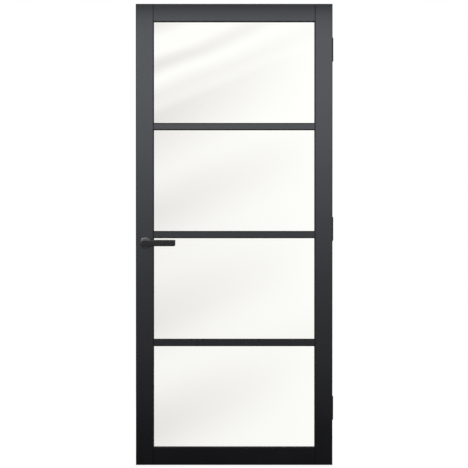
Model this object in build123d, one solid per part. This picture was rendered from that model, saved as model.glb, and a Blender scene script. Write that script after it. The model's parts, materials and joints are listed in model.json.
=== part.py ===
from build123d import *
from math import cos, radians, sin
import os

# Glazed interior door leaf with lever handles, a mortise latch lock and three butt hinges.
# X runs along the width, towards the hinges. Y runs through the thickness, to the back face.
# Z is up. The origin is the centre of the leaf's bottom edge. Lengths are in millimetres.

# Leaf
leaf_width = 870.0
leaf_height = 2040.0
leaf_thickness = 40.0
stile_width = 80.0
rail_height = 80.0
bar_height = 32.0
pane_count = 4
opening_chamfer = 4.5
arris = 2.5
seam_chamfer = 3.0

# Glazing
lip_depth = 15.0
rebate_width = 10.0
glass_thickness = 6.0
seal_thickness = 1.5
seal_cover = 7.0
seal_edge_gap = 0.5
bead_arris = 0.6

# Dowels
rail_dowel_radius = 6.0
rail_dowel_reach = 50.0
rail_dowel_spacing = 30.0
bar_dowel_radius = 4.0
bar_dowel_reach = 25.0
dowel_chamfer = 1.0
dowel_end_gap = 1.0

# Handle
handle_height = 982.5
backset = 43.0
lever_length = 145.0
lever_height = 26.5
lever_thickness = 9.0
lever_overhang = 15.0
lever_projection = 55.0
lever_edge_radius = 3.0
lever_corner_radius = 4.0
lever_heel_radius = 3.5
neck_radius = 9.0
neck_foot_gap = 0.5
spindle_size = 8.0
spindle_reach = 36.0
spindle_slack = 0.05
socket_end_gap = 2.0
grub_radius = 2.5
grub_length = 4.6
grub_distance = 14.0
handle_turn_limit = 40.0

# Rose
rose_radius = 25.0
rose_height = 8.0
rose_rim_height = 5.0
rose_flat_radius = 12.0
rose_wall = 1.2
rose_edge_radius = 1.0
rose_clip_gap = 0.1
rose_base_gap = 0.3
rose_neck_gap = 0.6
bush_radius = 12.0
bush_height = 6.4
bush_chamfer = 0.6
rose_screw_offset = 17.0
rose_screw_radius = 1.6
rose_screw_head = 3.2
rose_screw_length = 14.0
spindle_hole_radius = 10.0

# Lock
faceplate_width = 20.0
faceplate_height = 170.0
faceplate_thickness = 3.0
faceplate_screw_inset = 9.0
case_depth = 56.0
case_width = 15.0
case_wall = 1.25
case_above = 60.0
case_below = 40.0
mortise_gap = 0.5
hub_radius = 8.4
follower_radius = 11.0
follower_width = 11.0
cam_radius = 17.5
cam_tip_radius = 2.5
cam_width = 5.0
arm_half_width = 1.5
spring_arm_radius = 14.0
spring_arm_tip = 2.0
latch_travel = 12.0
latch_width = 12.0
latch_height = 20.0
latch_length = 28.0
latch_rear_wall = 3.0
latch_edge_radius = 1.0
magnet_radius = 4.0
magnet_depth = 4.0
draw_rod_radius = 2.5
draw_head_radius = 4.2
draw_head_thickness = 3.0
draw_rise_gap = 1.5
prong_thickness = 2.0
bracket_gap = 0.5
bracket_height = 16.0
rivet_radius = 2.5
rivet_neck = 1.5
rivet_inset = 6.0

# Leg spring of the follower
leg_spring_radius = 4.5
leg_spring_wire = 0.6
leg_spring_turns = 3.25
leg_spring_pitch = 1.3
leg_spring_drop = 28.0
leg_overlap = 2.5
spring_post_radius = 3.6
spring_post_length = 9.0

# Hinges
hinge_height = 100.0
hinge_thickness = 2.0
hinge_gap = 1.0
hinge_setback = 12.0
hinge_top_distance = 200.0
hinge_bottom_distance = 250.0
knuckle_radius = 4.5
knuckle_count = 5
knuckle_gap = 0.3
knuckle_stand = 0.5
hinge_pin_radius = 2.5
pin_head_radius = 4.2
pin_head_height = 3.0
hinge_hole_radius = 2.4
hinge_hole_spacing_y = 15.0
hinge_hole_spacing_z = 72.0

# Wood screws in the leaf's two long edges
edge_screw_radius = 2.1
edge_screw_head = 4.2
edge_screw_length = 30.0

# Clearances and fastener details
running_gap = 0.05
seat_gap = 0.15
touch_gap = 0.1
screw_point = 3.0
recess_length = 4.2
recess_width = 0.9
recess_depth = 0.8
cut_margin = 1.0

# Planes of the leaf
half_width = leaf_width / 2
front = -leaf_thickness / 2
back = leaf_thickness / 2
lip_back = front + lip_depth
opening_half = half_width - stile_width
rebate_half = opening_half + rebate_width
pane_height = (leaf_height - 2 * rail_height - (pane_count - 1) * bar_height) / pane_count
pane_pitch = pane_height + bar_height
bead_front = lip_back + 2 * seal_thickness + glass_thickness

# Lock and handle axes
rose_base_height = rose_rim_height - rose_wall - rose_base_gap
spindle_x = -half_width + backset
lock_edge = -half_width + faceplate_thickness
case_end = lock_edge + case_depth
case_back_y = -case_width / 2
cover_y = case_width / 2 - case_wall
case_low = handle_height - case_below
case_high = handle_height + case_above
faceplate_middle = (case_low + case_high) / 2
draw_rise = cam_radius + cam_tip_radius + draw_rise_gap + draw_rod_radius
latch_z = handle_height + draw_rise
latch_end = latch_length - half_width
bracket_x = latch_end + bracket_gap
draw_head_end = latch_end - latch_rear_wall - latch_travel - seat_gap
cam_rest = handle_turn_limit / 2
cam_tip_x = spindle_x - cam_radius * sin(radians(cam_rest))
cam_tip_z = handle_height + cam_radius * cos(radians(cam_rest))
spring_post_x = spindle_x - spring_arm_tip - touch_gap - leg_spring_wire + leg_spring_radius
spring_post_z = handle_height - leg_spring_drop

# Hinge axis
pin_x = half_width + hinge_gap / 2
pin_y = back + knuckle_stand + knuckle_radius
hinge_front = front + hinge_setback
hinge_flat_end = pin_y - knuckle_radius - knuckle_gap
hinge_hole_y = (hinge_front + hinge_flat_end) / 2
hinge_heights = {
    "top": leaf_height - hinge_top_distance,
    "middle": (leaf_height - hinge_top_distance + hinge_bottom_distance) / 2,
    "bottom": hinge_bottom_distance,
}


def block(x0, x1, y0, y1, z0, z1):
    """A box between two corners."""
    size = Box(x1 - x0, y1 - y0, z1 - z0)
    return Pos((x0 + x1) / 2, (y0 + y1) / 2, (z0 + z1) / 2) * size


def prism(plane, points, length):
    """A closed outline on a plane, extruded along the plane's normal."""
    outline = Polyline(*points, close=True)
    return extrude(plane * make_face(outline), length)


def prism_x(points, x0, x1):
    """An outline of (y, z) points that runs from x0 to x1."""
    plane = Plane(origin=(x0, 0, 0), x_dir=(0, 1, 0), z_dir=(1, 0, 0))
    return prism(plane, points, x1 - x0)


def prism_y(points, y0, y1):
    """An outline of (x, z) points that runs from y0 to y1."""
    plane = Plane(origin=(0, y1, 0), x_dir=(1, 0, 0), z_dir=(0, -1, 0))
    return prism(plane, points, y1 - y0)


def prism_z(points, z0, z1):
    """An outline of (x, y) points that runs from z0 to z1."""
    return prism(Plane.XY.offset(z0), points, z1 - z0)


def rod(start, direction, radius, length):
    """A cylinder from a point along a direction."""
    base = (Align.CENTER, Align.CENTER, Align.MIN)
    return Plane(origin=start, z_dir=direction) * Cylinder(radius, length, align=base)


def edge_at(solid, *point):
    """The edge of a solid that passes nearest to a point."""
    return solid.edges().sort_by_distance(point)[0]


def screw(radius, head_radius, length):
    """A countersunk wood screw along -Z, its head's face at the origin."""
    head_depth = head_radius - radius
    outline = Polyline(
        (0, 0),
        (head_radius, 0),
        (radius, -head_depth),
        (radius, -length + screw_point),
        (0, -length),
        close=True,
    )
    body = revolve(Plane.XZ * make_face(outline), Axis.Z)
    slot = Box(recess_length, recess_width, 2 * recess_depth)
    return body - slot - Rot(0, 0, 90) * slot


def screw_hole(radius, head_radius, length):
    """The clearance of such a screw: a countersink and a bore with a closed end."""
    bore_radius = radius + running_gap
    head_depth = head_radius - radius
    outline = Polyline(
        (0, cut_margin),
        (head_radius + cut_margin, cut_margin),
        (bore_radius, -head_depth - running_gap),
        (bore_radius, -length - running_gap),
        (0, -length - running_gap),
        close=True,
    )
    return revolve(Plane.XZ * make_face(outline), Axis.Z)


def edge_screw_hole(radius):
    """The hole of an edge screw, with its countersink and a bore of the given radius."""
    return screw_hole(radius, edge_screw_head, edge_screw_length)


def facing(x, y, z, direction):
    """A place whose +Z points along a direction."""
    return Plane(origin=(x, y, z), z_dir=direction)


# Stiles


def stile_blank():
    """The milled section of the lock stile, full height, with its lip and glazing rebate."""
    outline = [
        (-half_width + arris, front),
        (-opening_half - opening_chamfer, front),
        (-opening_half, front + opening_chamfer),
        (-opening_half, lip_back),
        (-rebate_half, lip_back),
        (-rebate_half, back),
        (-half_width + arris, back),
        (-half_width, back - arris),
        (-half_width, front + arris),
    ]
    blank = prism_z(outline, 0, leaf_height)
    ends = [
        edge_at(blank, -half_width + stile_width / 2, y, z)
        for y in (front, back)
        for z in (0, leaf_height)
    ]
    return chamfer(ends, arris)


def rail_dowel_places():
    """Middle points of the dowels between rails and stiles, on the lock side."""
    y = (lip_back + back) / 2
    middle = (rail_height - rebate_width) / 2
    rises = [middle + side * rail_dowel_spacing / 2 for side in (-1, 1)]
    heights = rises + [leaf_height - rise for rise in rises]
    return [(-rebate_half, y, z) for z in heights]


def bar_dowel_places():
    """Middle points of the dowels between bars and stiles, on the lock side."""
    y = (front + lip_back) / 2
    return [(-opening_half, y, bar_middle(n)) for n in range(1, pane_count)]


def dowel_holes():
    """All dowel bores of the lock side."""
    bores = []
    for places, radius, reach in dowel_kinds():
        for x, y, z in places:
            start = (x - reach - dowel_end_gap, y, z)
            length = 2 * (reach + dowel_end_gap)
            bores.append(rod(start, (1, 0, 0), radius + running_gap, length))
    return bores


def dowel_kinds():
    """Places, radius and reach of the two kinds of dowel."""
    return [
        (rail_dowel_places(), rail_dowel_radius, rail_dowel_reach),
        (bar_dowel_places(), bar_dowel_radius, bar_dowel_reach),
    ]


def dowels():
    """Every dowel of the leaf, as separate pegs with chamfered ends."""
    pegs = []
    for places, radius, reach in dowel_kinds():
        for x, y, z in places:
            peg = rod((x - reach, y, z), (1, 0, 0), radius, 2 * reach)
            rims = peg.edges().filter_by(GeomType.CIRCLE)
            peg = chamfer(rims, dowel_chamfer)
            pegs += [peg, mirror(peg, Plane.YZ)]
    return pegs


def lock_stile():
    """The stile on the lever's side, with the mortise for the lock."""
    stile = stile_blank()
    stile -= faceplate_shape(seat_gap)
    stile -= block(
        lock_edge - cut_margin,
        case_end + mortise_gap,
        case_back_y - mortise_gap,
        -case_back_y + mortise_gap,
        case_low - mortise_gap,
        case_high + mortise_gap,
    )
    through = leaf_thickness + 2 * cut_margin
    start = (spindle_x, front - cut_margin, handle_height)
    stile -= rod(start, (0, 1, 0), spindle_hole_radius, through)
    for place in faceplate_screw_places():
        stile -= place * edge_screw_hole(edge_screw_radius)
    for place in rose_screw_places():
        stile -= place * screw_hole(rose_screw_radius, rose_screw_radius, rose_screw_length)
    return stile - dowel_holes()


def hinge_stile():
    """The stile on the hinge side, with a shallow recess for each hinge plate."""
    stile = mirror(stile_blank() - dowel_holes(), Plane.YZ)
    for z in hinge_heights.values():
        stile -= block(
            half_width - hinge_thickness,
            half_width + cut_margin,
            hinge_front,
            back + cut_margin,
            z - hinge_height / 2,
            z + hinge_height / 2,
        )
        for place in hinge_hole_places(z, half_width, 1):
            stile -= place * edge_screw_hole(edge_screw_radius)
    return stile


# Rails and bars


def coped(blank):
    """A rail or bar whose ends are scribed over the stiles' section and joined with dowels."""
    stile = stile_blank()
    piece = blank - stile - mirror(stile, Plane.YZ)
    seams = []
    for side in (-1, 1):
        middle = piece.center().Z
        seams.append(edge_at(piece, side * (opening_half + opening_chamfer), front, middle))
        seams.append(edge_at(piece, side * rebate_half, back, middle))
    piece = chamfer(seams, seam_chamfer)
    for bore in dowel_holes():
        piece -= bore
        piece -= mirror(bore, Plane.YZ)
    return piece


def bottom_rail():
    """The rail at the floor: a lip in front and a rebate behind, along its upper edge."""
    outline = [
        (front + arris, 0),
        (back - arris, 0),
        (back, arris),
        (back, rail_height - rebate_width),
        (lip_back, rail_height - rebate_width),
        (lip_back, rail_height),
        (front + opening_chamfer, rail_height),
        (front, rail_height - opening_chamfer),
        (front, arris),
    ]
    return coped(prism_x(outline, -rebate_half, rebate_half))


def top_rail():
    """The bottom rail's section turned over, at the top of the leaf."""
    middle = Plane.XY.offset(leaf_height / 2)
    return mirror(bottom_rail(), middle)


def bar_middle(number):
    """The height of a bar's centre, counted from the top."""
    return leaf_height - rail_height - number * pane_pitch + bar_height / 2


def glazing_bar(number):
    """A thin bar: a chamfered face in front, and a web between the two glasses."""
    z = bar_middle(number)
    half_face = bar_height / 2
    half_web = half_face - rebate_width
    outline = [
        (front, z - half_face + opening_chamfer),
        (front + opening_chamfer, z - half_face),
        (lip_back, z - half_face),
        (lip_back, z - half_web),
        (back, z - half_web),
        (back, z + half_web),
        (lip_back, z + half_web),
        (lip_back, z + half_face),
        (front + opening_chamfer, z + half_face),
        (front, z + half_face - opening_chamfer),
    ]
    return coped(prism_x(outline, -rebate_half, rebate_half))


# Panes, seals and beads


def pane_span(number):
    """The lowest and highest points of a clear opening, counted from the top."""
    top = leaf_height - rail_height - (number - 1) * pane_pitch
    return top - pane_height, top


def glass_cover():
    """How far the glass reaches past the clear opening on each side."""
    return rebate_width - seal_edge_gap - seal_thickness


def glass(number):
    """A flat pane, held on all four edges."""
    low, high = pane_span(number)
    cover = glass_cover()
    half = opening_half + cover
    start = lip_back + seal_thickness
    return block(-half, half, start, start + glass_thickness, low - cover, high + cover)


def seal(number):
    """A U-shaped rubber seal that wraps the edge of the glass."""
    low, high = pane_span(number)
    outer = rebate_width - seal_edge_gap
    inner = glass_cover() - seal_cover
    ring = block(
        -opening_half - outer,
        opening_half + outer,
        lip_back,
        bead_front,
        low - outer,
        high + outer,
    )
    ring -= block(
        -opening_half - inner,
        opening_half + inner,
        lip_back - cut_margin,
        bead_front + cut_margin,
        low - inner,
        high + inner,
    )
    return ring - glass(number)


def bead(number, side):
    """One glazing bead: a mitred strip behind the glass, chamfered like the front."""
    low, high = pane_span(number)
    x_in, x_out = opening_half, rebate_half
    outlines = {
        "top": [
            (-x_in, high),
            (x_in, high),
            (x_out, high + rebate_width),
            (-x_out, high + rebate_width),
        ],
        "bottom": [
            (-x_out, low - rebate_width),
            (x_out, low - rebate_width),
            (x_in, low),
            (-x_in, low),
        ],
        "left": [
            (-x_out, low - rebate_width),
            (-x_in, low),
            (-x_in, high),
            (-x_out, high + rebate_width),
        ],
        "right": [
            (x_in, low),
            (x_out, low - rebate_width),
            (x_out, high + rebate_width),
            (x_in, high),
        ],
    }
    middle = (low + high) / 2
    inner = {
        "top": (0, back, high),
        "bottom": (0, back, low),
        "left": (-x_in, back, middle),
        "right": (x_in, back, middle),
    }
    outer = {
        "top": (0, back, high + rebate_width),
        "bottom": (0, back, low - rebate_width),
        "left": (-x_out, back, middle),
        "right": (x_out, back, middle),
    }
    strip = prism_y(outlines[side], bead_front, back)
    strip = chamfer(edge_at(strip, *inner[side]), opening_chamfer)
    return chamfer(edge_at(strip, *outer[side]), bead_arris)


# Handle, built for the front face and mirrored to the back one


def lever():
    """A flat bar on a round neck, with a square socket for the spindle."""
    heel = spindle_x - lever_overhang
    tip = heel + lever_length
    outer = front - lever_projection
    inner = outer + lever_thickness
    low = handle_height - lever_height / 2
    high = handle_height + lever_height / 2
    grip = block(heel, tip, outer, inner, low, high)
    middle_y = (outer + inner) / 2
    tips = [edge_at(grip, tip, middle_y, z) for z in (low, high)]
    grip = fillet(tips, lever_corner_radius)
    heels = [edge_at(grip, heel, middle_y, z) for z in (low, high)]
    grip = fillet(heels, lever_heel_radius)
    rims = [e for e in grip.edges() if abs(e.center().Y - middle_y) > lever_thickness / 4]
    grip = fillet(rims, lever_edge_radius)
    foot = front - neck_foot_gap
    neck = rod((spindle_x, foot, handle_height), (0, -1, 0), neck_radius, foot - middle_y)
    half = spindle_size / 2 + spindle_slack
    socket = block(
        spindle_x - half,
        spindle_x + half,
        front - spindle_reach - socket_end_gap,
        front + cut_margin,
        handle_height - half,
        handle_height + half,
    )
    return grip + neck - socket - grub_screw(running_gap, neck_radius)


def grub_screw(gap, length):
    """The set screw that holds the lever on the spindle, driven in from below."""
    top = handle_height - spindle_size / 2 - spindle_slack
    start = (spindle_x, front - grub_distance, top)
    return rod(start, (0, 0, -1), grub_radius + gap, length)


def grub_screws():
    """One set screw for each lever, with a slot for the key."""
    body = grub_screw(0, grub_length)
    low = body.bounding_box().min.Z
    slot = block(
        spindle_x - grub_radius,
        spindle_x + grub_radius,
        front - grub_distance - recess_width / 2,
        front - grub_distance + recess_width / 2,
        low - cut_margin,
        low + recess_depth,
    )
    body -= slot
    return [body, mirror(body, Plane.XZ)]


def spindle():
    """The square bar through the leaf, the follower and both levers."""
    half = spindle_size / 2
    return block(
        spindle_x - half,
        spindle_x + half,
        front - spindle_reach,
        back + spindle_reach,
        handle_height - half,
        handle_height + half,
    )


def rose_dome(inset, foot):
    """A disc with a straight rim and a domed front, as far inside the rose's outline as inset."""
    radius = rose_radius - inset
    rim = rose_rim_height - inset
    top = rose_height - inset
    outline = [
        Polyline((rose_flat_radius, top), (0, top), (0, foot), (radius, foot), (radius, rim)),
        TangentArc((rose_flat_radius, top), (radius, rim), tangent=(1, 0)),
    ]
    centre = (spindle_x, front, handle_height)
    profile = Plane(centre, x_dir=(1, 0, 0), z_dir=(0, 0, -1)) * make_face(outline)
    return revolve(profile, Axis(centre, (0, -1, 0)))


def rose():
    """A round domed cover, hollow behind, with a hole for the lever's neck."""
    cover = rose_dome(0, 0)
    rim = edge_at(cover, spindle_x, front - rose_rim_height, handle_height + rose_radius)
    cover = fillet(rim, rose_edge_radius)
    cover -= rose_dome(rose_wall, -cut_margin)
    start = (spindle_x, front + cut_margin, handle_height)
    through = rose_height + 2 * cut_margin
    return cover - rod(start, (0, -1, 0), neck_radius + rose_neck_gap, through)


def rose_base():
    """The plate under the rose, screwed to the stile, that carries the lever's bush."""
    centre = (spindle_x, front, handle_height)
    radius = rose_radius - rose_wall - rose_clip_gap
    base = rod(centre, (0, -1, 0), radius, rose_base_height)
    start = (spindle_x, front + cut_margin, handle_height)
    through = rose_base_height + 2 * cut_margin
    base -= rod(start, (0, -1, 0), bush_radius + running_gap, through)
    for place in rose_screw_places()[:2]:
        base -= place * screw_hole(rose_screw_radius, rose_screw_head, rose_screw_length)
    return base


def rose_screw_places():
    """Two screws above and below the spindle on each face, heads outwards."""
    places = []
    for side in (-1, 1):
        face = side * (back + rose_base_height)
        for rise in (-rose_screw_offset, rose_screw_offset):
            places.append(facing(spindle_x, face, handle_height + rise, (0, side, 0)))
    return places


def rose_screws():
    """The four wood screws of the two rose bases."""
    shape = screw(rose_screw_radius, rose_screw_head, rose_screw_length)
    return [place * shape for place in rose_screw_places()]


def lever_bushes():
    """The plain bearing ring of each lever, in its rose base."""
    centre = (spindle_x, front, handle_height)
    ring = rod(centre, (0, -1, 0), bush_radius, bush_height)
    rim = edge_at(ring, spindle_x, front - bush_height, handle_height + bush_radius)
    ring = chamfer(rim, bush_chamfer)
    start = (spindle_x, front + cut_margin, handle_height)
    through = bush_height + 2 * cut_margin
    ring -= rod(start, (0, -1, 0), neck_radius + running_gap, through)
    return [ring, mirror(ring, Plane.XZ)]


# Lock


def faceplate_shape(gap):
    """The plate on the leaf's edge, with round ends, as a solid without holes."""
    radius = faceplate_width / 2 + gap
    straight = faceplate_height / 2 - faceplate_width / 2
    low = faceplate_middle - straight
    high = faceplate_middle + straight
    shape = block(-half_width, lock_edge, -radius, radius, low, high)
    for z in (low, high):
        shape += rod((-half_width, 0, z), (1, 0, 0), radius, faceplate_thickness)
    return shape


def faceplate_screw_places():
    """One screw near each end of the faceplate."""
    reach = faceplate_height / 2 - faceplate_screw_inset
    return [
        facing(-half_width, 0, faceplate_middle + side * reach, (-1, 0, 0))
        for side in (-1, 1)
    ]


def latch_window(gap, x0, x1):
    """The rectangular way of the latch bolt."""
    half_y = latch_width / 2 + gap
    half_z = latch_height / 2 + gap
    return block(x0, x1, -half_y, half_y, latch_z - half_z, latch_z + half_z)


def faceplate():
    """The faceplate with the latch window and two countersunk holes."""
    plate = faceplate_shape(0)
    plate -= latch_window(seat_gap, -half_width - cut_margin, lock_edge + cut_margin)
    for place in faceplate_screw_places():
        plate -= place * edge_screw_hole(edge_screw_radius)
    return plate


def rivet_places():
    """The two posts that hold the cover: one low by the front, one high by the end."""
    return [
        (lock_edge + rivet_inset, case_low + rivet_inset),
        (case_end - rivet_inset, case_high - rivet_inset),
    ]


def lock_case():
    """A pressed case, open towards the cover, with posts and the drawbar's bracket."""
    case = block(lock_edge, case_end, case_back_y, cover_y, case_low, case_high)
    case -= block(
        lock_edge + case_wall,
        case_end - case_wall,
        -cover_y,
        cover_y + cut_margin,
        case_low + case_wall,
        case_high - case_wall,
    )
    case -= latch_window(seat_gap, lock_edge - cut_margin, lock_edge + 2 * case_wall)
    hub_start = (spindle_x, case_back_y - cut_margin, handle_height)
    case -= rod(hub_start, (0, 1, 0), hub_radius + running_gap, case_wall + 2 * cut_margin)
    bracket = block(
        bracket_x,
        bracket_x + case_wall,
        -cover_y,
        cover_y,
        latch_z - bracket_height / 2,
        latch_z + bracket_height / 2,
    )
    rod_start = (bracket_x - cut_margin, 0, latch_z)
    rod_way = rod(rod_start, (1, 0, 0), draw_rod_radius + seat_gap, case_wall + 2 * cut_margin)
    case += bracket - rod_way
    post_start = (spring_post_x, -cover_y, spring_post_z)
    case += rod(post_start, (0, 1, 0), spring_post_radius, spring_post_length)
    for x, z in rivet_places():
        case += rod((x, -cover_y, z), (0, 1, 0), rivet_radius, 2 * cover_y)
        case += rod((x, cover_y, z), (0, 1, 0), rivet_neck, case_wall)
    return case


def case_cover():
    """The plate that closes the case, held by the two riveted posts."""
    cover = block(lock_edge, case_end, cover_y, case_width / 2, case_low, case_high)
    through = case_wall + 2 * cut_margin
    start_y = cover_y - cut_margin
    hub_start = (spindle_x, start_y, handle_height)
    cover -= rod(hub_start, (0, 1, 0), hub_radius + running_gap, through)
    for x, z in rivet_places():
        cover -= rod((x, start_y, z), (0, 1, 0), rivet_neck + running_gap, through)
    return cover


def follower():
    """The hub on the spindle: a cam moves the drawbar, a lower arm meets the spring."""
    half = case_width / 2 - touch_gap
    hub = rod((spindle_x, -half, handle_height), (0, 1, 0), hub_radius, 2 * half)
    half = follower_width / 2
    hub += rod((spindle_x, -half, handle_height), (0, 1, 0), follower_radius, 2 * half)
    hub += arm(cam_radius, cam_tip_radius, -cam_rest)
    hub += arm(-spring_arm_radius, spring_arm_tip, 0)
    square = spindle_size / 2 + spindle_slack
    return hub - block(
        spindle_x - square,
        spindle_x + square,
        -case_width,
        case_width,
        handle_height - square,
        handle_height + square,
    )


def arm(reach, tip_radius, angle):
    """A flat arm from the spindle's axis with a round tip, turned about that axis."""
    half = cam_width / 2
    low, high = sorted((0, reach))
    shape = block(-arm_half_width, arm_half_width, -half, half, low, high)
    shape += rod((0, -half, reach), (0, 1, 0), tip_radius, cam_width)
    return Pos(spindle_x, 0, handle_height) * Rot(0, angle, 0) * shape


def latch_bolt():
    """The bolt, flush with the faceplate at rest, with a slot in which the drawbar runs."""
    half = latch_width / 2
    low = latch_z - latch_height / 2
    high = low + latch_height
    bolt = block(-half_width, latch_end, -half, half, low, high)
    bolt = fillet(bolt.edges().filter_by(Axis.X), latch_edge_radius)
    slot = draw_head_radius + seat_gap
    bolt -= block(
        draw_head_end - draw_head_thickness - seat_gap,
        latch_end - latch_rear_wall,
        -slot,
        slot,
        latch_z - slot,
        high + cut_margin,
    )
    slot = draw_rod_radius + seat_gap
    bolt -= block(
        latch_end - latch_rear_wall - cut_margin,
        latch_end + cut_margin,
        -slot,
        slot,
        latch_z - slot,
        high + cut_margin,
    )
    start = (-half_width - cut_margin, 0, latch_z)
    depth = magnet_depth + cut_margin
    return bolt - rod(start, (1, 0, 0), magnet_radius + running_gap, depth)


def latch_magnet():
    """The round magnet in the bolt's face, which the strike plate draws out."""
    return rod((-half_width, 0, latch_z), (1, 0, 0), magnet_radius, magnet_depth)


def drawbar():
    """A turned head in the bolt's slot, a rod, and a fork over the tip of the cam."""
    start = draw_head_end - draw_head_thickness
    bar = rod((start, 0, latch_z), (1, 0, 0), draw_head_radius, draw_head_thickness)
    reach = cam_tip_radius + seat_gap
    left = cam_tip_x - reach - prong_thickness
    right = cam_tip_x + reach + prong_thickness
    bar += rod((start, 0, latch_z), (1, 0, 0), draw_rod_radius, left + cut_margin - start)
    half = cam_width / 2
    fork = block(
        left, right, -half, half, cam_tip_z - cam_tip_radius, latch_z + draw_rod_radius
    )
    fork -= block(
        cam_tip_x - reach,
        cam_tip_x + reach,
        -cam_width,
        cam_width,
        handle_height,
        latch_z - draw_rod_radius,
    )
    return bar + fork


def follower_spring():
    """The leg spring on its post: one leg on the follower's lower arm, one on the case."""
    coils = Helix(leg_spring_pitch, leg_spring_pitch * leg_spring_turns, leg_spring_radius)
    up = leg_spring_drop - spring_arm_radius + leg_overlap
    across = case_end - case_wall - touch_gap - spring_post_x
    first = Line(coils @ 0 - up * (coils % 0), coils @ 0)
    last = Line(coils @ 1, coils @ 1 + across * (coils % 1))
    path = Wire([first, coils, last])
    start = Plane(origin=path @ 0, z_dir=path % 0)
    spring = sweep(start * Circle(leg_spring_wire), path)
    place = Plane(
        origin=(spring_post_x, leg_spring_pitch * leg_spring_turns / 2, spring_post_z),
        x_dir=(-1, 0, 0),
        z_dir=(0, -1, 0),
    )
    return place * spring


# Hinges


def hinge_hole_places(z, face, side):
    """The four screw places of a hinge plate, on a face that looks to the given side."""
    return [
        facing(
            face,
            hinge_hole_y + side_y * hinge_hole_spacing_y / 2,
            z + side_z * hinge_hole_spacing_z / 2,
            (side, 0, 0),
        )
        for side_y in (-1, 1)
        for side_z in (-1, 1)
    ]


def knuckle_span(z, index):
    """The lowest and highest points of one knuckle, with half a gap at each inner end."""
    step = hinge_height / knuckle_count
    low = z - hinge_height / 2 + index * step
    under = knuckle_gap / 2 if index > 0 else 0
    over = knuckle_gap / 2 if index < knuckle_count - 1 else 0
    return low + under, low + step - over


def hinge_plate(z, face, side, first):
    """A plate whose screw heads look to the given side, with every second knuckle."""
    x0, x1 = sorted((face, face - side * hinge_thickness))
    low = z - hinge_height / 2
    plate = block(x0, x1, hinge_front, hinge_flat_end, low, low + hinge_height)
    for place in hinge_hole_places(z, face, side):
        plate -= place * edge_screw_hole(hinge_hole_radius)
    for index in range(first, knuckle_count, 2):
        bottom, top = knuckle_span(z, index)
        plate += block(x0, x1, hinge_flat_end - cut_margin, pin_y, bottom, top)
        plate += rod((pin_x, pin_y, bottom), (0, 0, 1), knuckle_radius, top - bottom)
    bore_start = (pin_x, pin_y, low - cut_margin)
    bore_length = hinge_height + 2 * cut_margin
    return plate - rod(bore_start, (0, 0, 1), hinge_pin_radius + running_gap, bore_length)


def hinge_leaf_plate(z):
    """The plate let into the leaf's edge, with the second and fourth knuckles."""
    return hinge_plate(z, half_width, 1, 1)


def hinge_frame_plate(z):
    """The plate that is screwed to the door frame, with the other knuckles."""
    return hinge_plate(z, half_width + hinge_gap, -1, 0)


def hinge_pin(z):
    """The pin through all knuckles, with a rounded button at each end."""
    low = z - hinge_height / 2
    pin = rod((pin_x, pin_y, low), (0, 0, 1), hinge_pin_radius, hinge_height)
    for start, up in ((low, -1), (low + hinge_height, 1)):
        button = rod((pin_x, pin_y, start), (0, 0, up), pin_head_radius, pin_head_height)
        end = start + up * pin_head_height
        rim = edge_at(button, pin_x + pin_head_radius, pin_y, end)
        pin += fillet(rim, pin_head_height / 2)
    return pin


def edge_screws():
    """The wood screws of the faceplate and of the three leaf plates."""
    shape = screw(edge_screw_radius, edge_screw_head, edge_screw_length)
    places = faceplate_screw_places()
    for z in hinge_heights.values():
        places += hinge_hole_places(z, half_width, 1)
    return [place * shape for place in places]


# Nodes


def nodes():
    """Every node by name, as one solid or a list of separate like solids."""
    made = {
        "lock_stile": lock_stile(),
        "hinge_stile": hinge_stile(),
        "top_rail": top_rail(),
        "bottom_rail": bottom_rail(),
        "dowels": dowels(),
        "lever_front": lever(),
        "lever_rear": mirror(lever(), Plane.XZ),
        "spindle": spindle(),
        "grub_screws": grub_screws(),
        "rose_front": rose(),
        "rose_rear": mirror(rose(), Plane.XZ),
        "rose_base_front": rose_base(),
        "rose_base_rear": mirror(rose_base(), Plane.XZ),
        "rose_screws": rose_screws(),
        "lever_bushes": lever_bushes(),
        "faceplate": faceplate(),
        "lock_case": lock_case(),
        "case_cover": case_cover(),
        "follower": follower(),
        "follower_spring": follower_spring(),
        "drawbar": drawbar(),
        "latch_bolt": latch_bolt(),
        "latch_magnet": latch_magnet(),
        "edge_screws": edge_screws(),
    }
    for number in range(1, pane_count):
        made[f"glazing_bar_{number}"] = glazing_bar(number)
    for number in range(1, pane_count + 1):
        made[f"pane_{number}_glass"] = glass(number)
        made[f"pane_{number}_seal"] = seal(number)
        for side in ("top", "bottom", "left", "right"):
            made[f"pane_{number}_bead_{side}"] = bead(number, side)
    for name, z in hinge_heights.items():
        made[f"hinge_{name}_leaf_plate"] = hinge_leaf_plate(z)
        made[f"hinge_{name}_frame_plate"] = hinge_frame_plate(z)
        made[f"hinge_{name}_pin"] = hinge_pin(z)
    return made


os.makedirs("parts", exist_ok=True)
for name, shape in nodes().items():
    solids = shape if isinstance(shape, list) else [shape]
    found = [solid for one in solids for solid in one.solids()]
    export_step(Compound(found) if len(found) > 1 else found[0], f"parts/{name}.step")
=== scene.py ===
import json
import math

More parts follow.
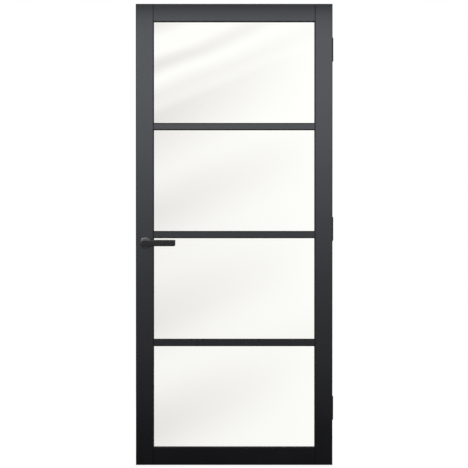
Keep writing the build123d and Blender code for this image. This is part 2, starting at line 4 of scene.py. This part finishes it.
import bpy
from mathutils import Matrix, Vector


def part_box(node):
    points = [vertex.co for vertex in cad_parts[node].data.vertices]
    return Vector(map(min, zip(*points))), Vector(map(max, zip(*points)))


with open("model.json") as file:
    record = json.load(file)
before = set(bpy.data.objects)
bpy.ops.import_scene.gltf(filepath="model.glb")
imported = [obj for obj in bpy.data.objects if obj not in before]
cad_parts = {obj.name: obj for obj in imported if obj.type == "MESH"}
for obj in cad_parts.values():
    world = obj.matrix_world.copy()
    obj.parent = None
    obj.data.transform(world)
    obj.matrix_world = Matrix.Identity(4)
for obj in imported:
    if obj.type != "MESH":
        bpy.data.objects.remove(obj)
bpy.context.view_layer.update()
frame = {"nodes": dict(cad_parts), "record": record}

# The leaf itself is all CAD. This script gives its pieces their materials, and adds the camera,
# a floor, a world, a card that only gloss shows, and three lamps.
nodes = frame["nodes"]
slot_of = {part["node"]: part["material_slot"] for part in frame["record"]["subparts"]}
scene = bpy.context.scene
scene.view_settings.view_transform = "Standard"

# The camera that fits the leaf's edges in the photograph.
FRONT_FACE = -0.020
CAMERA_DISTANCE = 12.0
CAMERA_HEIGHT = 1.160
CAMERA_SIDE = -0.0007
LOOK_DOWN = math.radians(0.655)
LENS = 208.7
SENSOR_WIDTH = 36.0
CLIP_END = 100.0

camera_data = bpy.data.cameras.new("camera")
camera_data.lens = LENS
camera_data.sensor_width = SENSOR_WIDTH
camera_data.clip_end = CLIP_END
camera = bpy.data.objects.new("camera", camera_data)
camera.location = (CAMERA_SIDE, FRONT_FACE - CAMERA_DISTANCE, CAMERA_HEIGHT)
camera.rotation_euler = (math.radians(90) - LOOK_DOWN, 0, 0)
scene.collection.objects.link(camera)
scene.camera = camera


# Most noise lies between these two values.
NOISE_LOW, NOISE_HIGH = 0.3, 0.7


class Net:
    """Builds a node tree. A socket given as a value is linked, anything else is set."""

    def __init__(self, tree):
        self.tree = tree
        tree.nodes.clear()

    def add(self, kind, inputs=None, **settings):
        node = self.tree.nodes.new("ShaderNode" + kind)
        for name, value in settings.items():
            setattr(node, name, value)
        for name, value in (inputs or {}).items():
            if isinstance(value, bpy.types.NodeSocket):
                self.tree.links.new(value, node.inputs[name])
            else:
                node.inputs[name].default_value = value
        return node

    def calc(self, operation, a, b=0.0, c=0.0):
        return self.add("Math", {0: a, 1: b, 2: c}, operation=operation).outputs[0]

    def times(self, a, b):
        return self.calc("MULTIPLY", a, b)

    def plus(self, a, b):
        return self.calc("ADD", a, b)

    def spread(self, value, low, high, to_low=0.0, to_high=1.0, smooth=False):
        """value from low to high becomes to_low to to_high."""
        kind = "SMOOTHSTEP" if smooth else "LINEAR"
        inputs = {0: value, 1: low, 2: high, 3: to_low, 4: to_high}
        return self.add("MapRange", inputs, interpolation_type=kind).outputs[0]

    def mix(self, factor, a, b):
        """A colour between a and b."""
        return self.add("Mix", {0: factor, 6: a, 7: b}, data_type="RGBA").outputs[2]

    def blend(self, factor, a, b):
        """A number between a and b."""
        return self.add("Mix", {0: factor, 2: a, 3: b}, data_type="FLOAT").outputs[0]

    def either(self, factor, a, b):
        """A shader between a and b."""
        return self.add("MixShader", {0: factor, 1: a, 2: b}).outputs[0]

    def place(self, scale=(1, 1, 1), shift=(0, 0, 0)):
        """A point in the part's own frame, in metres, times scale."""
        point = self.add("TexCoord").outputs["Object"]
        return self.add("Mapping", {0: point, 1: shift, 3: scale}).outputs[0]

    def split(self, point):
        """The X, Y and Z of a point."""
        return self.add("SeparateXYZ", {0: point}).outputs

    def noise(self, point, scale, detail=2.0, roughness=0.5):
        inputs = {"Vector": point, "Scale": scale, "Detail": detail, "Roughness": roughness}
        return self.add("TexNoise", inputs).outputs[0]

    def even(self, noise, to_low=0.0, to_high=1.0):
        """Noise spread evenly from to_low to to_high."""
        return self.spread(noise, NOISE_LOW, NOISE_HIGH, to_low, to_high)

    def streaks(self, along, across_scale, along_scale, roughness=0.6):
        """Noise drawn out along one axis."""
        scale = [across_scale] * 3
        scale["XYZ".index(along)] = along_scale
        return self.noise(self.place(tuple(scale)), 1.0, detail=3.0, roughness=roughness)

    def bump(self, height, depth, normal=None):
        inputs = {"Height": height, "Distance": depth, "Strength": 1.0}
        if normal is not None:
            inputs["Normal"] = normal
        return self.add("Bump", inputs).outputs[0]

    def emission(self, strength, colour=(1.0, 1.0, 1.0, 1.0)):
        return self.add("Emission", {0: colour, 1: strength}).outputs[0]

    def principled(self, **inputs):
        named = {name.replace("_", " "): value for name, value in inputs.items()}
        return self.add("BsdfPrincipled", named).outputs[0]

    def surface(self, shader):
        self.add("OutputMaterial", {"Surface": shader})


def grey(level, blue=1.0):
    return (level, level, level * blue, 1.0)


def new_material(name):
    material = bpy.data.materials.new(name)
    material.use_nodes = True
    return material, Net(material.node_tree)


LACQUER_BLUE = 1.12
LACQUER_TINT = (0.94, 0.96, 1.0, 1.0)


def lacquer(name, along):
    """Satin black lacquer over wood, whose faint grain runs along an axis."""
    material, net = new_material(name)
    grain = net.streaks(along, across_scale=700.0, along_scale=14.0)
    peel = net.noise(net.place(), scale=420.0, detail=1.0)
    cloud = net.even(net.noise(net.place(), scale=7.0))
    rough = net.spread(cloud, 0.0, 1.0, to_low=0.17, to_high=0.20)
    grain_relief = net.bump(grain, depth=0.000004)
    net.surface(net.principled(
        Base_Color=net.mix(cloud, grey(0.0078, LACQUER_BLUE), grey(0.0090, LACQUER_BLUE)),
        Roughness=net.times(rough, net.even(grain, to_low=0.94, to_high=1.06)),
        IOR=1.5,
        Normal=net.bump(peel, depth=0.000012, normal=grain_relief),
        Specular_Tint=LACQUER_TINT,
    ))
    return material


POWDER_BLUE = 1.04


def powder(name, level, rough, depth=0.00002, ior=1.5):
    """Black powder coat: a fine pebbled skin on metal."""
    material, net = new_material(name)
    fine = net.noise(net.place(), scale=2600.0, roughness=0.6)
    broad = net.noise(net.place(), scale=60.0)
    dark, pale = grey(level * 0.8, POWDER_BLUE), grey(level * 1.25, POWDER_BLUE)
    net.surface(net.principled(
        Base_Color=net.mix(net.even(fine), dark, pale),
        Roughness=net.even(broad, rough - 0.03, rough + 0.03),
        IOR=ior,
        Normal=net.bump(fine, depth),
    ))
    return material


def steel(name, level, rough, along, blue=1.0):
    """Ground or plated steel, with fine scratches along an axis."""
    material, net = new_material(name)
    scratch = net.streaks(along, across_scale=5000.0, along_scale=60.0, roughness=0.7)
    cloud = net.noise(net.place(), scale=90.0, detail=3.0, roughness=0.6)
    dark, pale = grey(level * 0.86, blue), grey(level * 1.1, blue)
    net.surface(net.principled(
        Base_Color=net.mix(net.even(cloud), dark, pale),
        Metallic=1.0,
        Roughness=net.spread(scratch, 0.25, 0.75, rough - 0.08, rough + 0.1),
        Normal=net.bump(scratch, depth=0.000006),
    ))
    return material


def moulded(name, level, rough):
    """Moulded plastic or rubber with a fine matt texture."""
    material, net = new_material(name)
    fine = net.noise(net.place(), scale=1800.0, roughness=0.6)
    broad = net.noise(net.place(), scale=40.0)
    net.surface(net.principled(
        Base_Color=net.mix(net.even(broad), grey(level * 0.85), grey(level * 1.15)),
        Roughness=net.even(fine, rough - 0.06, rough + 0.06),
        IOR=1.5,
        Normal=net.bump(fine, depth=0.000015),
    ))
    return material


BEECH_DARK = (0.44, 0.27, 0.13, 1)
BEECH_PALE = (0.62, 0.42, 0.24, 1)
BEECH_FLECK = (0.26, 0.14, 0.07, 1)
RING_SCALE = (12.0, 420.0, 420.0)


def beech(name):
    """Bare beech dowels: pale brown with short darker flecks along X."""
    material, net = new_material(name)
    fleck = net.streaks("X", across_scale=1600.0, along_scale=160.0)
    ring = net.noise(net.place(RING_SCALE), scale=1.0)
    wood = net.mix(net.even(ring), BEECH_DARK, BEECH_PALE)
    flecked = net.spread(fleck, 0.62, 0.72, to_low=0.0, to_high=0.6)
    net.surface(net.principled(
        Base_Color=net.mix(flecked, wood, BEECH_FLECK),
        Roughness=net.even(fleck, 0.6, 0.75),
        Normal=net.bump(fleck, depth=0.00003),
    ))
    return material


# The faint slanting bands of painted reflection on each pane, numbered from the top: darker streaks
# in the glass's colour that stand in for reflections. Each band has a centre and its reach below and
# above it, in metres up from the pane's lower left corner, and then its strength at the pane's left
# and right edges. A band falls by BAND_SLOPE to the left and wavers by up to BAND_WAVE. The wash is
# an even painted reflection that fades out to the right.
BAND_SLOPE = 0.40
BAND_WAVE = 0.012
WAVE_SCALE = (1.6, 1.6, 3.2)
PANE_REFLECTION_BANDS = {
    1: [(0.03, 0.28, 0.09, 0.215, 0.0), (0.12, 0.06, 0.075, 0.13, 0.03),
        (0.25, 0.06, 0.06, 0.19, 0.02), (0.45, 0.09, 0.10, 0.16, 0.10)],
    2: [(0.09, 0.20, 0.17, 0.105, 0.015), (0.45, 0.20, 0.10, 0.11, 0.0)],
    3: [(0.09, 0.17, 0.25, 0.095, 0.0), (-0.30, 0.20, 0.20, 0.0, 0.05)],
    4: [(0.09, 0.24, 0.25, 0.145, 0.0), (0.45, 0.10, 0.10, 0.03, 0.0)],
}
PANE_REFLECTION_WASH = {1: 0.02, 2: 0.09, 3: 0.09, 4: 0.055}
GLASS_IOR = 1.45
GLASS_CLEAR = (1.0, 1.0, 0.965, 1.0)
# The dark colour that the painted reflection pulls the glass's colour towards.
GLASS_REFLECTION_SHADE = (0.10, 0.02, 0.0, 1.0)
GLASS_PASSES = (0.9, 0.9, 0.9, 1)


def clear_glass(number):
    """Clear glass with painted reflections in its colour: faint darker slanting bands, stronger
    towards the lock side.

    Shadow and diffuse rays pass straight through it.
    """
    low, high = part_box(f"pane_{number}_glass")
    material, net = new_material(f"glass_{number}")
    x, _, z = net.split(net.add("TexCoord").outputs["Object"])
    share = net.spread(x, low.x, high.x)
    across = net.calc("SUBTRACT", x, low.x)
    up = net.calc("SUBTRACT", z, low.z)
    slant = net.calc("MULTIPLY_ADD", across, -BAND_SLOPE, up)
    wave = net.noise(net.place(WAVE_SCALE, shift=(0, 0, number)), scale=1.0, detail=1.0)
    slant = net.plus(slant, net.even(wave, -BAND_WAVE, BAND_WAVE))
    # Painted reflection: an even wash plus slanting bands that darken the glass's base colour.
    painted_reflection = net.spread(share, 0.0, 1.0, PANE_REFLECTION_WASH[number], 0.0)
    for centre, below, above, left, right in PANE_REFLECTION_BANDS[number]:
        rise = net.spread(slant, centre - below, centre, smooth=True)
        fall = net.spread(slant, centre, centre + above, 1.0, 0.0, smooth=True)
        depth = net.spread(share, 0.0, 1.0, left, right)
        painted_reflection = net.plus(painted_reflection, net.times(net.times(rise, fall), depth))
    glass = net.principled(
        Base_Color=net.mix(painted_reflection, GLASS_CLEAR, GLASS_REFLECTION_SHADE),
        Roughness=0.0,
        IOR=GLASS_IOR,
        Transmission_Weight=1.0,
    )
    path = net.add("LightPath").outputs
    passing = net.calc("MAXIMUM", path["Is Shadow Ray"], path["Is Diffuse Ray"])
    through = net.add("BsdfTransparent", {0: GLASS_PASSES}).outputs[0]
    net.surface(net.either(passing, glass, through))
    return material


upright_lacquer = lacquer("lacquer_upright", "Z")
level_lacquer = lacquer("lacquer_level", "X")
finishes = {
    "painted_frame": upright_lacquer,
    "painted_rails": level_lacquer,
    "seal_rubber": moulded("seal_rubber", 0.012, 0.6),
    "dowel_wood": beech("dowel_wood"),
    "lever_black": powder("lever_black", 0.006, 0.30, ior=1.35),
    "rose_black": powder("rose_black", 0.032, 0.29, 0.00001),
    "plate_black": powder("plate_black", 0.012, 0.40),
    "screw_black": powder("screw_black", 0.014, 0.36, 0.00001),
    "nylon": moulded("nylon", 0.03, 0.5),
    "bolt_black": moulded("bolt_black", 0.014, 0.38),
    "bright_steel": steel("bright_steel", 0.55, 0.28, "X"),
    "zinc_steel": steel("zinc_steel", 0.5, 0.36, "Z", 1.04),
}
pane_glass = {f"pane_{number}_glass": clear_glass(number) for number in PANE_REFLECTION_BANDS}


def finish_of(name):
    """A piece's material: by its slot, but each pane has its own and a bead's grain is lengthwise."""
    slot = slot_of[name]
    if slot == "glass":
        return pane_glass[name]
    if slot == "painted_beads":
        return upright_lacquer if name.endswith(("_left", "_right")) else level_lacquer
    return finishes[slot]


for name, piece in nodes.items():
    piece.data.materials.clear()
    piece.data.materials.append(finish_of(name))


def rectangle(name, corners, material):
    """A flat four-cornered sheet in the scene."""
    mesh = bpy.data.meshes.new(name)
    mesh.from_pydata(corners, [], [(0, 1, 2, 3)])
    mesh.materials.append(material)
    sheet = bpy.data.objects.new(name, mesh)
    scene.collection.objects.link(sheet)
    return sheet


# The floor glows for the camera, less near the leaf, whose shadow stays on its grey.
FLOOR_REACH = 7.0
FLOOR_LEVEL = -0.001
FLOOR_GREYS = (grey(0.17), grey(0.19))
GLOW_NEAR, GLOW_FAR = 0.83, 0.92
GLOW_STARTS, GLOW_ENDS = 0.6, 4.0


def pale_floor():
    """Pale to the camera by its own glow, and plain white through the glass."""
    material, net = new_material("floor")
    speck = net.noise(net.place(), scale=30.0)
    diffuse = net.add("BsdfDiffuse", {0: net.mix(speck, *FLOOR_GREYS)}).outputs[0]
    path = net.add("LightPath").outputs
    x, y, _ = net.split(net.place())
    away = net.calc("SQRT", net.plus(net.times(x, x), net.times(y, y)))
    lift = net.spread(away, GLOW_STARTS, GLOW_ENDS, GLOW_NEAR, GLOW_FAR, smooth=True)
    glow = net.emission(net.times(path["Is Camera Ray"], lift))
    direct = net.add("AddShader", {0: diffuse, 1: glow}).outputs[0]
    net.surface(net.either(path["Is Transmission Ray"], direct, net.emission(1.0)))
    return material


corner_signs = [(-1, -1), (1, -1), (1, 1), (-1, 1)]
floor = rectangle(
    "floor",
    [(x * FLOOR_REACH, y * FLOOR_REACH, FLOOR_LEVEL) for x, y in corner_signs],
    pale_floor(),
)
floor.visible_glossy = False

# The world is white to the camera and through the glass, and AMBIENT for diffuse light. In gloss
# it depends on the direction: dim in front, with a bright high strip that is strongest on the
# left and a patch at the upper left, which light the lever's upper edge and the rose. It is white
# behind, but for a dark flag straight behind, which keeps the reveals round the glass black.
AMBIENT = 0.45
SIDE_GLOSS, TOP_GLOSS = 0.10, 0.25
SIDE_TO_TOP = (0.30, 0.90)
STRIP_GLOSS, STRIP_GLOSS_RIGHT = 20.0, 1.0
STRIP_LEFT_TO_RIGHT = (-0.12, 0.22)
STRIP_RISE, STRIP_FALL = (0.60, 0.74), (0.86, 0.95)
PATCH_GLOSS = 4.6
PATCH_SIDE = (-0.51, -0.69, 0.51)
PATCH_EDGE = (0.93, 0.985)
BELOW_SHARE = 0.2
BELOW_TO_LEVEL = (-0.35, 0.0)
FRONT_TO_BACK = (0.05, 0.5)
FLAG_GLOSS = 0.20
FLAG_EDGE = (0.93, 0.985)


def gloss_by_direction(net, direction):
    """The world's strength for a reflected ray."""
    x, y, z = net.split(direction)
    strip = net.spread(x, *STRIP_LEFT_TO_RIGHT, STRIP_GLOSS, STRIP_GLOSS_RIGHT, smooth=True)
    rise = net.spread(z, *STRIP_RISE, smooth=True)
    fall = net.spread(z, *STRIP_FALL, 1.0, 0.0, smooth=True)
    strip = net.times(strip, net.times(rise, fall))
    near = net.add("VectorMath", {0: direction, 1: PATCH_SIDE}, operation="DOT_PRODUCT")
    patch = net.spread(near.outputs["Value"], *PATCH_EDGE, 0.0, PATCH_GLOSS, smooth=True)
    above = net.spread(z, *SIDE_TO_TOP, SIDE_GLOSS, TOP_GLOSS, smooth=True)
    above = net.plus(above, net.plus(strip, patch))
    below = net.spread(z, *BELOW_TO_LEVEL, BELOW_SHARE, 1.0, smooth=True)
    behind = net.spread(y, *FRONT_TO_BACK, smooth=True)
    backdrop = net.spread(y, *FLAG_EDGE, 1.0, FLAG_GLOSS, smooth=True)
    return net.blend(behind, net.times(above, below), backdrop)


world = bpy.data.worlds.new("studio")
world.use_nodes = True
scene.world = world
net = Net(world.node_tree)
direction = net.add("TexCoord").outputs["Generated"]
path = net.add("LightPath").outputs
# A ray that was reflected before it went through the glass counts as gloss, unless it leaves
# towards the front.
unreflected = net.calc("LESS_THAN", path["Glossy Depth"], 0.5)
to_front = net.calc("LESS_THAN", net.split(direction)[1], 0.0)
unflagged = net.calc("MAXIMUM", unreflected, to_front)
through = net.times(path["Is Transmission Ray"], unflagged)
seen = net.calc("MAXIMUM", path["Is Camera Ray"], through)
reflected = net.calc("MAXIMUM", path["Is Glossy Ray"], net.calc("SUBTRACT", 1.0, unreflected))
plain = net.blend(reflected, AMBIENT, gloss_by_direction(net, direction))
strength = net.blend(seen, plain, 1.0)
background = net.add("Background", {0: grey(1.0), 1: strength}).outputs[0]
net.add("OutputWorld", {"Surface": background})

# A pale card in front of the leaf, bright above and dark below, shows only in gloss. Its levels
# are given by height. Mirrors and glass show GLASS_SHARE of it.
CARD_AWAY = 0.9
CARD_HALF = 1.1
CARD_FADE = 0.4
CARD_LOW, CARD_HIGH = -0.35, 2.12
CARD_GLOW = 2.6
CARD_COLOUR = (0.955, 0.965, 1.0, 1.0)
CARD_STOPS = [
    (-0.20, 0.0), (0.05, 0.03), (0.25, 0.10), (0.50, 0.19), (0.75, 0.28), (1.00, 0.42),
    (1.25, 0.60), (1.50, 0.82), (1.75, 0.96), (1.95, 1.0), (2.05, 1.0), (2.11, 0.0),
]
GLASS_SHARE = 0.5


def card_glow():
    """Glow by height, which fades out at the card's sides."""
    material, net = new_material("card")
    x, _, z = net.split(net.place())
    ramp = net.add("ValToRGB")
    ramp.color_ramp.interpolation = "EASE"
    net.tree.links.new(net.spread(z, CARD_LOW, CARD_HIGH), ramp.inputs[0])
    stops = ramp.color_ramp.elements
    while len(stops) < len(CARD_STOPS):
        stops.new(0.5)
    for stop, (height, level) in zip(stops, CARD_STOPS):
        stop.position = (height - CARD_LOW) / (CARD_HIGH - CARD_LOW)
        stop.color = grey(level)
    side = net.calc("ABSOLUTE", x)
    edge = net.spread(side, CARD_HALF - CARD_FADE, CARD_HALF, 1.0, 0.0, smooth=True)
    glow = net.times(net.times(ramp.outputs[0], CARD_GLOW), edge)
    mirrored = net.add("LightPath").outputs["Is Singular Ray"]
    glow = net.times(glow, net.spread(mirrored, 0.0, 1.0, 1.0, GLASS_SHARE))
    clear = net.add("BsdfTransparent").outputs[0]
    net.surface(net.either(edge, clear, net.emission(glow, CARD_COLOUR)))
    return material


card = rectangle(
    "card",
    [(-CARD_HALF, -CARD_AWAY, CARD_LOW), (CARD_HALF, -CARD_AWAY, CARD_LOW),
     (CARD_HALF, -CARD_AWAY, CARD_HIGH), (-CARD_HALF, -CARD_AWAY, CARD_HIGH)],
    card_glow(),
)
card.visible_camera = False
card.visible_diffuse = False
card.visible_transmission = False
card.visible_shadow = False
card.visible_volume_scatter = False

LAMP_AIM = Vector((0, 0, 1.0))
LAMP_COLOUR = (0.98, 0.99, 1.0)


def softbox(name, place, size, power):
    """A lamp for diffuse light only: it shows neither in gloss nor through the glass."""
    lamp = bpy.data.lights.new(name, "AREA")
    lamp.shape = "RECTANGLE"
    lamp.size, lamp.size_y = size
    lamp.energy = power
    lamp.color = LAMP_COLOUR
    box = bpy.data.objects.new(name, lamp)
    box.location = place
    box.rotation_euler = (LAMP_AIM - Vector(place)).to_track_quat("-Z", "Y").to_euler()
    box.visible_camera = False
    box.visible_glossy = False
    box.visible_transmission = False
    scene.collection.objects.link(box)


softbox("softbox_left", (-2.3, -2.6, 2.9), (1.8, 1.8), 60.0)
softbox("softbox_right", (2.9, -2.3, 1.3), (1.8, 1.8), 75.0)
softbox("softbox_back", (0.6, 3.0, 2.8), (2.0, 1.6), 80.0)
